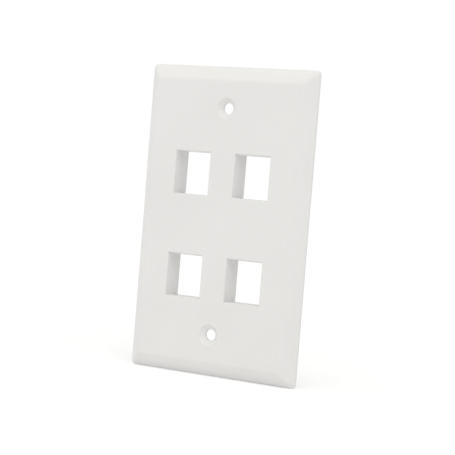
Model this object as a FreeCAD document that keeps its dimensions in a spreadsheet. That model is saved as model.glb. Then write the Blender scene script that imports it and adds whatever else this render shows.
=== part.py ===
"""Single-gang wall faceplate with a two by two block of keystone ports, moulded in one piece.

Frame: +Z up, +X to the right seen from the front, +Y into the wall. The origin is the centre of the
plane in which the rim meets the wall, so the flat front field lies at Y = -plate_depth.
"""
import FreeCAD, Part
import os
from math import radians

import Sketcher
from FreeCAD import Vector

DIMENSIONS = (
    # outline and front
    ("plate_width", 69.85, "standard single-gang width"),
    ("plate_height", 114.3, "standard single-gang height"),
    ("plate_depth", 5.1, "front field to the rim's wall face"),
    ("corner_radius", 1.6, "corners of the outline"),
    ("field_corner_radius", 0.8, "corners of the flat field, where the bevels mitre"),
    ("bevel_width", 5.3, "sloped border round the field, out to the side wall"),
    ("bevel_drop", 4.1, "how far the slope falls over that width"),
    ("bevel_bulge", 0.35, "how far the slope's middle stands out from a straight line"),
    ("crest_radius", 2.0, "rounding between the field and the slope"),
    ("shoulder_radius", 1.2, "rounding between the slope and the side wall"),
    # shell
    ("face_wall", 2.0, "thickness of the face, and the least behind the slope"),
    ("rim_width", 2.2, "flat ring that meets the wall"),
    ("hollow_corner_radius", 1.2, "corners of the hollow back"),
    ("hollow_radius", 1.0, "rounding round the floor of the hollow"),
    ("rib_width", 1.2, "stiffening ribs behind the face"),
    ("rib_setback", 0.8, "the ribs stop this far short of the wall"),
    # mounting screws
    ("screw_spacing", 83.34, "between the two mounting screws"),
    ("screw_hole", 4.2, "clearance hole for a number 6 screw"),
    ("countersink", 7.9, "mouth of the countersink"),
    ("countersink_angle", 100.0, "seat of the screw's oval head, in degrees"),
    ("boss_size", 10.4, "diameter of the round pad behind each screw hole"),
    ("boss_rise", 0.6, "how far that pad stands behind the face"),
    # keystone ports
    ("port_width", 14.6, "clear opening, across"),
    ("port_height", 15.6, "clear opening, upright"),
    ("column_pitch", 25.0, "between the two columns of ports"),
    ("row_pitch", 38.2, "between the two rows of ports"),
    ("port_drop", 1.95, "middle of the ports below the middle of the plate"),
    ("head_rise", 0.5, "how far the underside of an opening's head slopes up towards the front"),
    ("head_run", 1.5, "how deep that slope reaches behind the front field"),
    ("port_edge_radius", 0.25, "rounding of the front edges of an opening"),
    ("port_depth", 8.9, "front field to the back of a port's collar"),
    ("collar_wall", 1.7, "walls of the collar that holds a jack"),
    ("collar_radius", 1.0, "long edges of a collar"),
    ("upper_land", 4.0, "depth of the ledge above the opening"),
    ("lower_land", 6.2, "depth of the ledge below the opening"),
    ("upper_recess", 4.0, "room above the opening for the jack's spring latch"),
    ("lower_recess", 2.0, "room below the opening for the jack's fixed hook"),
    ("catch_height", 1.9, "how far each catch stands into its recess"),
    ("catch_depth", 7.6, "front field to the holding faces of the catches"),
)

PORT_COLUMNS = 2
PORT_ROWS = 2
CROSS_RIBS = 3
TOUCHING = 0.001  # slack when edges are picked by where they lie

doc = FreeCAD.newDocument("keystone_faceplate")

sheet = doc.addObject("Spreadsheet::Sheet", "Sizes")
for row, (alias, number, note) in enumerate(DIMENSIONS, start=1):
    sheet.set(f"A{row}", alias)
    sheet.set(f"B{row}", str(number))
    sheet.set(f"C{row}", note)
    sheet.setAlias(f"B{row}", alias)
doc.recompute()

body = doc.addObject("PartDesign::Body", "faceplate")
body.Label = "faceplate"


# --- helpers ------------------------------------------------------------------------------------


def value(expression):
    """What an expression of the sheet's dimensions comes to now, in millimetres."""
    return float(sheet.evalExpression(expression))


def origin_feature(role):
    """One of the body's own origin planes or axes."""
    return next(feature for feature in body.Origin.OriginFeatures if feature.Role == role)


def sketch_on(role, name, right="0", up="0", along="0"):
    """A sketch on an origin plane, its own origin shifted within the plane and along the normal."""
    sketch = body.newObject("Sketcher::SketchObject", name)
    sketch.AttachmentSupport = [(origin_feature(role), "")]
    sketch.MapMode = "FlatFace"
    for axis, expression in zip("xyz", (right, up, along)):
        sketch.setExpression(f"AttachmentOffset.Base.{axis}", expression)
    return sketch


def dimension(sketch, name, kind, where, expression):
    """A sketch dimension that follows the sheet."""
    index = sketch.addConstraint(Sketcher.Constraint(kind, *where, value(expression)))
    sketch.renameConstraint(index, name)
    sketch.setExpression(f"Constraints.{name}", expression)


def rounded_rectangle(sketch, width, down, up, radius):
    """A rectangle centred across the sketch's origin, reaching down below it and up above it."""
    reach, low, high, bend = value(width) / 2, -value(down), value(up), value(radius)
    corners = (
        (bend - reach, low + bend, 180),
        (reach - bend, low + bend, 270),
        (reach - bend, high - bend, 0),
        (bend - reach, high - bend, 90),
    )
    arcs = []
    for x, y, start in corners:
        circle = Part.Circle(Vector(x, y, 0), Vector(0, 0, 1), bend)
        arcs.append(sketch.addGeometry(Part.ArcOfCircle(circle, radians(start), radians(start + 90))))
    for place, (arc, following) in enumerate(zip(arcs, arcs[1:] + arcs[:1])):
        ends = sketch.getPoint(arc, 2), sketch.getPoint(following, 1)
        side = sketch.addGeometry(Part.LineSegment(*ends))
        sketch.addConstraint(Sketcher.Constraint("Tangent", arc, 2, side, 1))
        sketch.addConstraint(Sketcher.Constraint("Tangent", side, 2, following, 1))
        sketch.addConstraint(Sketcher.Constraint("Vertical" if place % 2 else "Horizontal", side))
        if place:
            sketch.addConstraint(Sketcher.Constraint("Equal", arcs[0], arc))
    lower_left, lower_right, upper_right, _ = arcs
    dimension(sketch, "radius", "Radius", (lower_left,), radius)
    dimension(sketch, "width", "DistanceX", (lower_left, 1, lower_right, 2), width)
    dimension(sketch, "left", "DistanceX", (lower_left, 1, -1, 1), f"({width}) / 2")
    dimension(sketch, "down", "DistanceY", (lower_left, 2, -1, 1), down)
    dimension(sketch, "up", "DistanceY", (-1, 1, upper_right, 2), up)


def rectangle(sketch, width, down, up):
    """The same with sharp corners."""
    side = f"({width}) / 2"
    polygon(sketch, ((f"-{side}", f"-({down})"), (side, f"-({down})"), (side, up), (f"-{side}", up)))


def polygon(sketch, points):
    """A closed outline of straight lines through points given as pairs of expressions."""
    places = [Vector(value(x), value(y), 0) for x, y in points]
    lines = [
        sketch.addGeometry(Part.LineSegment(place, following))
        for place, following in zip(places, places[1:] + places[:1])
    ]
    for line, following in zip(lines, lines[1:] + lines[:1]):
        sketch.addConstraint(Sketcher.Constraint("Coincident", line, 2, following, 1))
    for line, (x, y) in zip(lines, points):
        dimension(sketch, f"x{line}", "DistanceX", (-1, 1, line, 1), x)
        dimension(sketch, f"y{line}", "DistanceY", (-1, 1, line, 1), y)


def circles(sketch, size, centres):
    """Circles of one diameter, on the sketch's upright axis."""
    for place, height in enumerate(centres):
        circle = Part.Circle(Vector(0, value(height), 0), Vector(0, 0, 1), value(size) / 2)
        ring = sketch.addGeometry(circle)
        sketch.addConstraint(Sketcher.Constraint("PointOnObject", ring, 3, -2))
        dimension(sketch, f"size{place}", "Diameter", (ring,), size)
        dimension(sketch, f"height{place}", "DistanceY", (-1, 1, ring, 3), height)


def extrude(kind, name, profile, length, reverse=False, side="One side"):
    """A pad or pocket of a sketch, its length following the sheet."""
    feature = body.newObject(f"PartDesign::{kind}", name)
    feature.Profile = profile
    feature.SideType = side
    feature.Reversed = reverse
    feature.setExpression("Length", length)
    doc.recompute()
    return feature


def edges_inside(feature, low, high):
    """The names of a feature's edges that lie wholly between two corners, given as expressions."""
    bottom = Vector(*map(value, low))
    top = Vector(*map(value, high))
    box = FreeCAD.BoundBox(bottom, top)
    box.enlarge(TOUCHING)
    return [f"Edge{n}" for n, edge in enumerate(feature.Shape.Edges, start=1) if box.isInside(edge.BoundBox)]


def fillet(name, base, edges, radius):
    """Rounds some edges of the body."""
    feature = body.newObject("PartDesign::Fillet", name)
    feature.Base = (base, edges)
    feature.setExpression("Radius", radius)
    doc.recompute()
    return feature


def repeat(name, originals, directions):
    """Copies features in a row, or in rows and columns: (axis role, copies, total length) each."""
    pattern = body.newObject("PartDesign::LinearPattern", name)
    pattern.Originals = originals
    for suffix, (role, copies, length) in zip(("", "2"), directions):
        setattr(pattern, f"Direction{suffix}", (origin_feature(role), [""]))
        setattr(pattern, f"Occurrences{suffix}", copies)
        pattern.setExpression(f"Length{suffix}", length)
    body.Tip = pattern
    doc.recompute()
    return pattern


# --- front: side wall, sloped bevel and flat field ------------------------------------------------

HALF_HEIGHT = "Sizes.plate_height / 2"
FIELD_HALF_HEIGHT = "Sizes.plate_height / 2 - Sizes.bevel_width"
SLOPE_FOOT = "Sizes.plate_depth - Sizes.bevel_drop"

wall_outline = sketch_on("XZ_Plane", "WallOutline")
rounded_rectangle(wall_outline, "Sizes.plate_width", HALF_HEIGHT, HALF_HEIGHT, "Sizes.corner_radius")
rim = extrude("Pad", "Rim", wall_outline, SLOPE_FOOT)

slope_foot = sketch_on("XZ_Plane", "SlopeFoot", along=SLOPE_FOOT)
rounded_rectangle(slope_foot, "Sizes.plate_width", HALF_HEIGHT, HALF_HEIGHT, "Sizes.corner_radius")
# the slope is gently convex: its middle is moved out square to the straight line across it
SLOPE_LENGTH = "sqrt(Sizes.bevel_width ^ 2 + Sizes.bevel_drop ^ 2)"
MIDDLE_INSET = f"(Sizes.bevel_width / 2 - Sizes.bevel_bulge * Sizes.bevel_drop / {SLOPE_LENGTH})"
MIDDLE_DROP = f"(Sizes.bevel_drop / 2 - Sizes.bevel_bulge * Sizes.bevel_width / {SLOPE_LENGTH})"
MIDDLE_HALF_HEIGHT = f"Sizes.plate_height / 2 - {MIDDLE_INSET}"
slope_middle = sketch_on("XZ_Plane", "SlopeMiddle", along=f"Sizes.plate_depth - {MIDDLE_DROP}")
rounded_rectangle(
    slope_middle,
    f"Sizes.plate_width - 2 * {MIDDLE_INSET}",
    MIDDLE_HALF_HEIGHT,
    MIDDLE_HALF_HEIGHT,
    "(Sizes.corner_radius + Sizes.field_corner_radius) / 2",
)
field_outline = sketch_on("XZ_Plane", "FieldOutline", along="Sizes.plate_depth")
rounded_rectangle(
    field_outline,
    "Sizes.plate_width - 2 * Sizes.bevel_width",
    FIELD_HALF_HEIGHT,
    FIELD_HALF_HEIGHT,
    "Sizes.field_corner_radius",
)
bevel = body.newObject("PartDesign::AdditiveLoft", "Bevel")
bevel.Profile = slope_foot
bevel.Sections = [slope_middle, field_outline]
doc.recompute()

shoulder_edges = edges_inside(
    bevel,
    ("-Sizes.plate_width / 2", f"-({SLOPE_FOOT})", f"-({HALF_HEIGHT})"),
    ("Sizes.plate_width / 2", f"-({SLOPE_FOOT})", HALF_HEIGHT),
)
shoulder = fillet("Shoulder", bevel, shoulder_edges, "Sizes.shoulder_radius")
crest_edges = edges_inside(
    shoulder,
    ("-Sizes.plate_width / 2", "-Sizes.plate_depth", f"-({FIELD_HALF_HEIGHT})"),
    ("Sizes.plate_width / 2", "-Sizes.plate_depth", FIELD_HALF_HEIGHT),
)
fillet("Crest", shoulder, crest_edges, "Sizes.crest_radius")

# --- back: hollow shell, screw bosses and stiffening ribs -----------------------------------------

BACK_OF_FACE = "Sizes.plate_depth - Sizes.face_wall"
SLOPE_ANGLE = "atan(Sizes.bevel_drop / Sizes.bevel_width)"
# the wall behind the slope is no thinner than the face, so the hollow's floor ends this far in
FLOOR_INSET = f"(Sizes.bevel_width + Sizes.face_wall * tan({SLOPE_ANGLE} / 2))"


def hollow_outline(name, inset, along):
    """The hollow's outline, so far inside the plate's."""
    sketch = sketch_on("XZ_Plane", name, along=along)
    half_height = f"Sizes.plate_height / 2 - {inset}"
    width = f"Sizes.plate_width - 2 * {inset}"
    rounded_rectangle(sketch, width, half_height, half_height, "Sizes.hollow_corner_radius")
    return sketch


hollow = body.newObject("PartDesign::SubtractiveLoft", "Hollow")
hollow.Profile = hollow_outline("HollowMouth", "Sizes.rim_width", "0")
hollow.Sections = [hollow_outline("HollowFloor", FLOOR_INSET, BACK_OF_FACE)]
hollow.Ruled = True
doc.recompute()
floor_edges = edges_inside(
    hollow,
    ("-Sizes.plate_width / 2", f"-({BACK_OF_FACE})", f"-({HALF_HEIGHT})"),
    ("Sizes.plate_width / 2", f"-({BACK_OF_FACE})", HALF_HEIGHT),
)
fillet("HollowRounding", hollow, floor_edges, "Sizes.hollow_radius")

SCREW_HEIGHT = "Sizes.screw_spacing / 2"
boss_circles = sketch_on("XZ_Plane", "BossCircles", along=BACK_OF_FACE)
circles(boss_circles, "Sizes.boss_size", (SCREW_HEIGHT, f"-{SCREW_HEIGHT}"))
extrude("Pad", "Bosses", boss_circles, "Sizes.boss_rise", reverse=True)

RIB_RISE = "Sizes.plate_depth - Sizes.face_wall - Sizes.rib_setback"
BOSS_TO_BOSS = "(Sizes.screw_spacing - Sizes.boss_size + Sizes.rib_width) / 2"
spine_outline = sketch_on("XZ_Plane", "SpineOutline", along=BACK_OF_FACE)
rectangle(spine_outline, "Sizes.rib_width", BOSS_TO_BOSS, BOSS_TO_BOSS)
extrude("Pad", "Spine", spine_outline, RIB_RISE, reverse=True)

# a cross rib is rooted half a wall deep in the hollow's sloping flanks
LOWER_ROW = "-(Sizes.port_drop + Sizes.row_pitch / 2)"
FLANK_RUN = f"({FLOOR_INSET} - Sizes.rim_width) / ({BACK_OF_FACE})"
RIB_FOOT_REACH = f"Sizes.plate_width / 2 - {FLOOR_INSET} + Sizes.face_wall / 2"
RIB_TOP_REACH = f"{RIB_FOOT_REACH} + ({RIB_RISE}) * {FLANK_RUN}"
rib_section = sketch_on("XY_Plane", "CrossRibSection", along=LOWER_ROW)
polygon(
    rib_section,
    (
        (f"-({RIB_FOOT_REACH})", f"-({BACK_OF_FACE})"),
        (RIB_FOOT_REACH, f"-({BACK_OF_FACE})"),
        (RIB_TOP_REACH, "-Sizes.rib_setback"),
        (f"-({RIB_TOP_REACH})", "-Sizes.rib_setback"),
    ),
)
cross_rib = extrude("Pad", "CrossRib", rib_section, "Sizes.rib_width", side="Symmetric")
repeat("CrossRibs", [cross_rib], [("Z_Axis", CROSS_RIBS, "Sizes.row_pitch")])

# --- keystone ports: a collar round each opening, with its ledges, recesses and catches ------------

LEFT_COLUMN = "-Sizes.column_pitch / 2"
COLLAR_DOWN = "Sizes.port_height / 2 + Sizes.lower_recess + Sizes.collar_wall"
COLLAR_UP = "Sizes.port_height / 2 + Sizes.upper_recess + Sizes.collar_wall"
collar_outline = sketch_on("XZ_Plane", "CollarOutline", right=LEFT_COLUMN, up=LOWER_ROW, along=BACK_OF_FACE)
rounded_rectangle(
    collar_outline,
    "Sizes.port_width + 2 * Sizes.collar_wall",
    COLLAR_DOWN,
    COLLAR_UP,
    "Sizes.collar_radius",
)
collar = extrude("Pad", "Collar", collar_outline, "Sizes.port_depth - Sizes.face_wall", reverse=True)

# the side section of a port: depth behind the front field, height from the middle of the opening
SILL = "-Sizes.port_height / 2"
HEAD = "Sizes.port_height / 2"
MOUTH_TOP = "Sizes.port_height / 2 + Sizes.head_rise"
LOWER_FLOOR = "-Sizes.port_height / 2 - Sizes.lower_recess"
UPPER_ROOF = "Sizes.port_height / 2 + Sizes.upper_recess"
port_section = sketch_on(
    "YZ_Plane", "PortSection", right="-Sizes.plate_depth", up=LOWER_ROW, along=LEFT_COLUMN
)
polygon(
    port_section,
    (
        ("0", SILL),
        ("Sizes.lower_land", SILL),
        ("Sizes.lower_land", LOWER_FLOOR),
        ("Sizes.catch_depth", LOWER_FLOOR),
        ("Sizes.catch_depth", f"{LOWER_FLOOR} + Sizes.catch_height"),
        ("Sizes.port_depth", LOWER_FLOOR),
        ("Sizes.port_depth", UPPER_ROOF),
        ("Sizes.catch_depth", f"{UPPER_ROOF} - Sizes.catch_height"),
        ("Sizes.catch_depth", UPPER_ROOF),
        ("Sizes.upper_land", UPPER_ROOF),
        ("Sizes.upper_land", HEAD),
        ("Sizes.head_run", HEAD),
        ("0", MOUTH_TOP),
    ),
)
port = extrude("Pocket", "Port", port_section, "Sizes.port_width", side="Symmetric")
ports = repeat(
    "Ports",
    [collar, port],
    [("X_Axis", PORT_COLUMNS, "Sizes.column_pitch"), ("Z_Axis", PORT_ROWS, "Sizes.row_pitch")],
)

PORTS_REACH = "(Sizes.column_pitch + Sizes.port_width) / 2"
mouth_edges = edges_inside(
    ports,
    (f"-{PORTS_REACH}", "-Sizes.plate_depth", f"{LOWER_ROW} + {SILL}"),
    (PORTS_REACH, "-Sizes.plate_depth", f"{LOWER_ROW} + Sizes.row_pitch + {MOUTH_TOP}"),
)
mouths = fillet("PortMouths", ports, mouth_edges, "Sizes.port_edge_radius")

# --- countersunk screw holes ----------------------------------------------------------------------

screw_circles = sketch_on("XZ_Plane", "ScrewCircles", along="Sizes.plate_depth")
circles(screw_circles, "Sizes.screw_hole", (SCREW_HEIGHT, f"-{SCREW_HEIGHT}"))
doc.recompute()
screws = body.newObject("PartDesign::Hole", "ScrewHoles")
screws.Profile = screw_circles
screws.DepthType = "ThroughAll"
screws.HoleCutType = "Countersink"
screws.HoleCutCustomValues = True
screws.setExpression("Diameter", "Sizes.screw_hole")
screws.setExpression("HoleCutDiameter", "Sizes.countersink")
screws.setExpression("HoleCutCountersinkAngle", "Sizes.countersink_angle")
doc.recompute()

# --- check and write ------------------------------------------------------------------------------

for thing in doc.Objects:
    if "Invalid" in thing.State or "Error" in thing.State:
        raise RuntimeError(f"{thing.Label} is {thing.State}")
if body.Shape.isNull() or not body.Shape.isValid() or len(body.Shape.Solids) != 1:
    raise RuntimeError(f"{body.Label} is not one sound solid")

os.makedirs("parts", exist_ok=True)
body.Shape.exportStep(f"parts/{body.Label}.step")
print(f"{body.Label}: {body.Shape.Volume:.1f} mm3, {len(body.Shape.Faces)} faces, box {body.Shape.BoundBox}")
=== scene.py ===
import math

import bpy
from mathutils import Matrix, Vector


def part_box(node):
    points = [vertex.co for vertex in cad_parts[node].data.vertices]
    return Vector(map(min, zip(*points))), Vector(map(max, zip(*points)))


# A white wall faceplate for four keystone jacks, moulded in one piece, in a soft white studio.
# Lengths are in metres, and MM turns a size in millimetres into metres.

MM = 0.001
NODE = "faceplate"

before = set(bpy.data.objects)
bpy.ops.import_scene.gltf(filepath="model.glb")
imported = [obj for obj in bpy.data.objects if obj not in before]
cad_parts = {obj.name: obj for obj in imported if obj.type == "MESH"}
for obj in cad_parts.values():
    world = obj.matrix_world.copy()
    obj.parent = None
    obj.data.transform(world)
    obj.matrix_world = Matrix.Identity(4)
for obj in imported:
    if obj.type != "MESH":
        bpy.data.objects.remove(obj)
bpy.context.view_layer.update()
plate_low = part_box(NODE)[0]
MIDDLE = Vector((0, plate_low.y, 0))  # of the flat front, halfway between the two screw holes


def linear(colour):
    """An sRGB hex colour such as #E7E6E5 as linear red, green, blue and alpha."""
    channels = [int(colour[i:i + 2], 16) / 255 for i in (1, 3, 5)]
    return (*(c / 12.92 if c <= 0.04045 else ((c + 0.055) / 1.055) ** 2.4 for c in channels), 1.0)


def add_node(tree, kind, links=None, **settings):
    """Adds a node. Settings name its inputs or properties, and links say what feeds its inputs."""
    node = tree.nodes.new("ShaderNode" + kind)
    for name, value in settings.items():
        label = name.replace("_", " ").title()
        if label in node.inputs:
            node.inputs[label].default_value = value
        else:
            setattr(node, name, value)
    for place, output in (links or {}).items():
        tree.links.new(output, node.inputs[place])
    return node


def new_material(name):
    """An empty node material with its output, ready for a shader."""
    material = bpy.data.materials.new(name)
    material.use_nodes = True
    tree = material.node_tree
    tree.nodes.clear()
    return material, tree, add_node(tree, "OutputMaterial")


# ---------------------------------------------------------------- material of the plate

ABS_IOR = 1.54
ABS_TONES = ("#E4E3E2", "#E7E6E5")
TONES_SHARE = (0.3, 0.7)  # of the flow pattern's range, between which one tone turns into the other
SATIN = (0.42, 0.52)  # roughness, from the grain's valleys to its tops
GRAIN_SIZE = 0.45 * MM  # a real grain is about 0.1 mm, drawn coarser so that it shows
GRAIN_HEIGHT = 0.003 * MM
WAVE_SIZE = 14 * MM
WAVE_HEIGHT = 0.02 * MM
FLOW_SIZE = 30 * MM


def moulded_white_abs():
    """White ABS, injection moulded in a finely spark-eroded tool.

    The tool's grain breaks reflections into a soft satin sheen. The flow of the plastic leaves a
    slow unevenness of tone, and the cooled walls a slight waviness, which only shows in glancing
    light.
    """
    material, tree, output = new_material("moulded_white_abs")
    place = add_node(tree, "TexCoord").outputs["Object"]
    grain = add_node(tree, "TexNoise", {"Vector": place}, scale=1 / GRAIN_SIZE, detail=2.0)
    wave = add_node(tree, "TexNoise", {"Vector": place}, scale=1 / WAVE_SIZE, detail=1.0)
    flow = add_node(tree, "TexNoise", {"Vector": place}, scale=1 / FLOW_SIZE, detail=3.0)

    tone = add_node(tree, "ValToRGB", {"Fac": flow.outputs["Fac"]})
    for stop, share, colour in zip(tone.color_ramp.elements, TONES_SHARE, ABS_TONES):
        stop.position = share
        stop.color = linear(colour)

    roughness = add_node(tree, "MapRange", {"Value": grain.outputs["Fac"]},
                         to_min=SATIN[0], to_max=SATIN[1])
    waviness = add_node(tree, "Bump", {"Height": wave.outputs["Fac"]}, distance=WAVE_HEIGHT)
    grained = add_node(tree, "Bump",
                       {"Height": grain.outputs["Fac"], "Normal": waviness.outputs["Normal"]},
                       distance=GRAIN_HEIGHT)
    plastic = add_node(tree, "BsdfPrincipled",
                       {"Base Color": tone.outputs["Color"],
                        "Roughness": roughness.outputs["Result"],
                        "Normal": grained.outputs["Normal"]})
    plastic.inputs["IOR"].default_value = ABS_IOR
    tree.links.new(plastic.outputs["BSDF"], output.inputs["Surface"])
    return material


# ---------------------------------------------------------------- studio

WHITE = "#FFFFFF"
ROOM_LIGHT = 0.638  # how bright the room's white walls are on the plate
FLOOR_SIZE = 6.0
FLOOR_WHITE = "#E7E7E7"
# painted light: the floor glows up at the plate, though it is no lamp
FLOOR_GLOW_UP = 0.175  # light that the floor sends up at the plate, besides what falls on it
FLOOR_GLOW = 0.28  # brings the open floor up to white where it is looked at
FAR_FLOOR_GLOW = 0.55  # the same out of the lamps' reach
LAMPS_REACH = 1.8  # along the floor from the plate

# place and size of each panel, its radiance and its colour
SOFT_BOXES = {
    "top_box": ((0, -0.2, 1.1), (1.6, 0.8), 0.64, "#FFFFEA"),
    "front_box": ((0.2, -0.9, 0.9), (0.9, 0.7), 0.85, WHITE),
    "left_box": ((-1.2, -0.6, 0.2), (1.0, 1.4), 0.7, WHITE),
    "right_box": ((0.9, -0.6, 0.9), (0.8, 0.8), 1.41, WHITE),
}

# the camera looks from the right of the front and from a little above, and leans
AZIMUTH, ELEVATION, LEAN = (math.radians(angle) for angle in (29.33, 2.34, 4.60))
DISTANCE = 545.3 * MM
AIM = MIDDLE + Vector((4.45 * MM, 0, -1.57 * MM))
LENS_LENGTH, SENSOR_WIDTH = 118.3, 36  # in millimetres, as the camera takes them
NEAREST, FARTHEST = 0.01, 50  # what the camera still shows


def seen_directly(tree):
    """1 for what is looked at, also in a reflection or through something clear, and 0 for light."""
    path = add_node(tree, "LightPath").outputs
    looked_at = add_node(tree, "Math", {0: path["Is Camera Ray"], 1: path["Is Glossy Ray"]},
                         operation="MAXIMUM")
    any_of_them = add_node(tree, "Math", {0: looked_at.outputs["Value"],
                                          1: path["Is Transmission Ray"]}, operation="MAXIMUM")
    return any_of_them.outputs["Value"]


def studio_world():
    """A room of plain white: full white where it is looked at, and a soft light from all round."""
    world = bpy.data.worlds.new("studio")
    bpy.context.scene.world = world
    world.use_nodes = True
    tree = world.node_tree
    tree.nodes.clear()
    lit = add_node(tree, "Background", color=linear(WHITE), strength=ROOM_LIGHT)
    seen = add_node(tree, "Background", color=linear(WHITE), strength=1.0)
    mix = add_node(tree, "MixShader", {"Fac": seen_directly(tree), 1: lit.outputs["Background"],
                                       2: seen.outputs["Background"]})
    add_node(tree, "OutputWorld", {"Surface": mix.outputs["Shader"]})


def white_paint_and_glow():
    """Matt white paint, rolled on, which scatters light evenly and so has no sheen.

    Its glow rises away from the plate, as the lamps' light falls off, so that all of the open
    floor is plain white, and the plate's shadow stays. A weaker glow, painted light with no lamp
    behind it, also lights the plate from below.
    """
    material, tree, output = new_material("white_paint_and_glow")
    paint = add_node(tree, "BsdfDiffuse", color=linear(FLOOR_WHITE))
    way_out = add_node(tree, "VectorMath", {0: add_node(tree, "TexCoord").outputs["Object"]},
                       operation="LENGTH")
    shown = add_node(tree, "MapRange", {"Value": way_out.outputs["Value"]},
                     from_max=LAMPS_REACH, to_min=FLOOR_GLOW, to_max=FAR_FLOOR_GLOW)
    # painted light: the floor glows at the plate with FLOOR_GLOW_UP, and more strongly where it is
    # looked at
    strength = add_node(tree, "MapRange", {"Value": seen_directly(tree),
                                           "To Max": shown.outputs["Result"]},
                        to_min=FLOOR_GLOW_UP)
    glow = add_node(tree, "Emission", {"Strength": strength.outputs["Result"]})
    both = add_node(tree, "AddShader", {0: paint.outputs["BSDF"], 1: glow.outputs["Emission"]})
    tree.links.new(both.outputs["Shader"], output.inputs["Surface"])
    return material


def studio_floor():
    """The level floor on which the plate stands, on its lower edge."""
    half, level = FLOOR_SIZE / 2, plate_low.z
    corners = [(x * half, y * half, level) for x, y in ((-1, -1), (1, -1), (1, 1), (-1, 1))]
    mesh = bpy.data.meshes.new("floor")
    mesh.from_pydata(corners, [], [(0, 1, 2, 3)])
    mesh.materials.append(white_paint_and_glow())
    floor = bpy.data.objects.new("floor", mesh)
    bpy.context.scene.collection.objects.link(floor)


def soft_box(name, place, size, radiance, colour):
    """A soft box that faces the plate, as bright as a panel of that radiance."""
    data = bpy.data.lights.new(name, "AREA")
    data.shape = "RECTANGLE"
    data.size, data.size_y = size
    data.energy = math.pi * size[0] * size[1] * radiance
    data.color = linear(colour)[:3]
    lamp = bpy.data.objects.new(name, data)
    bpy.context.scene.collection.objects.link(lamp)
    lamp.visible_camera = False
    facing = (MIDDLE - Vector(place)).to_track_quat("-Z", "Y").to_matrix().to_4x4()
    lamp.matrix_world = Matrix.Translation(place) @ facing


def camera():
    """A long lens, aimed close to the middle of the plate."""
    back = Vector((math.sin(AZIMUTH) * math.cos(ELEVATION),
                   -math.cos(AZIMUTH) * math.cos(ELEVATION),
                   math.sin(ELEVATION)))
    data = bpy.data.cameras.new("camera")
    data.sensor_width = SENSOR_WIDTH
    data.lens = LENS_LENGTH
    data.clip_start, data.clip_end = NEAREST, FARTHEST
    item = bpy.data.objects.new("camera", data)
    bpy.context.scene.collection.objects.link(item)
    turn = (-back).to_track_quat("-Z", "Y").to_matrix() @ Matrix.Rotation(LEAN, 3, "Z")
    item.matrix_world = Matrix.Translation(AIM + back * DISTANCE) @ turn.to_4x4()
    bpy.context.scene.camera = item


bpy.context.scene.view_settings.view_transform = "Standard"
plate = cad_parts[NODE]
plate.data.materials.clear()
plate.data.materials.append(moulded_white_abs())
studio_world()
studio_floor()
for name, box in SOFT_BOXES.items():
    soft_box(name, *box)
camera()
